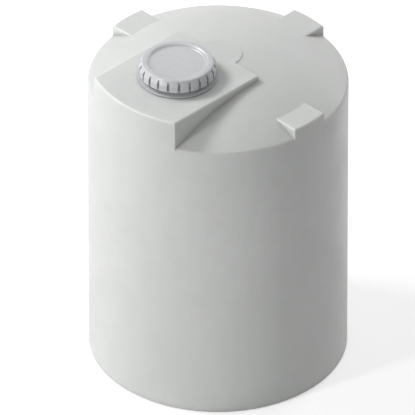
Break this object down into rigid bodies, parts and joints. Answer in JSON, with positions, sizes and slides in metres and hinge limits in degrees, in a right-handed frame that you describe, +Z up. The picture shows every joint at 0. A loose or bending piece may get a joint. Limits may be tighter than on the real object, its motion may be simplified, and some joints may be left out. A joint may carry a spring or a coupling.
{
  "type": "storage tank",
  "caption": "Upright cylindrical moulded storage tank with a shallow domed roof, a flat access platform, rim pads and a castellated screw closure.",
  "frame": {"origin": "centre of the tank's flat base, on the floor", "axes": "+Z up along the tank's axis; the platform with the closure lies towards -Y, and the three rim pads towards +X, +Y and -X"},
  "size_m": [1, 0.9999, 1.41],
  "materials": {
    "natural_pe": "satin",
    "closure_plastic": "satin",
    "epdm": "matte"
  },
  "bodies": {
    "tank": {"vessel_shell": "natural_pe", "neck_collar": "closure_plastic", "collar_gasket": "epdm", "backing_nut": "closure_plastic"},
    "seal": {"cover_gasket": "epdm"},
    "cover": {"cover_disc": "closure_plastic"},
    "ring": {"screw_ring": "closure_plastic"}
  },
  "joints": [
    {"name": "lid_lift_off", "type": "slide", "parent": "tank", "child": "seal", "axis": [0, 0, 1], "range_m": [0, 0.3]},
    {"name": "lid_rise", "type": "slide", "parent": "seal", "child": "cover", "axis": [0, 0, 1], "range_m": [0, 0.025]},
    {"name": "ring_turn", "type": "hinge", "parent": "cover", "child": "ring", "pos_m": [0, -0.2185, 1.339], "axis": [0, 0, 1], "range_deg": [0, 900]}
  ],
  "couplings": [
    {"joint": "lid_rise", "follows": "ring_turn", "m_per_rad": 0.0015915}
  ]
}
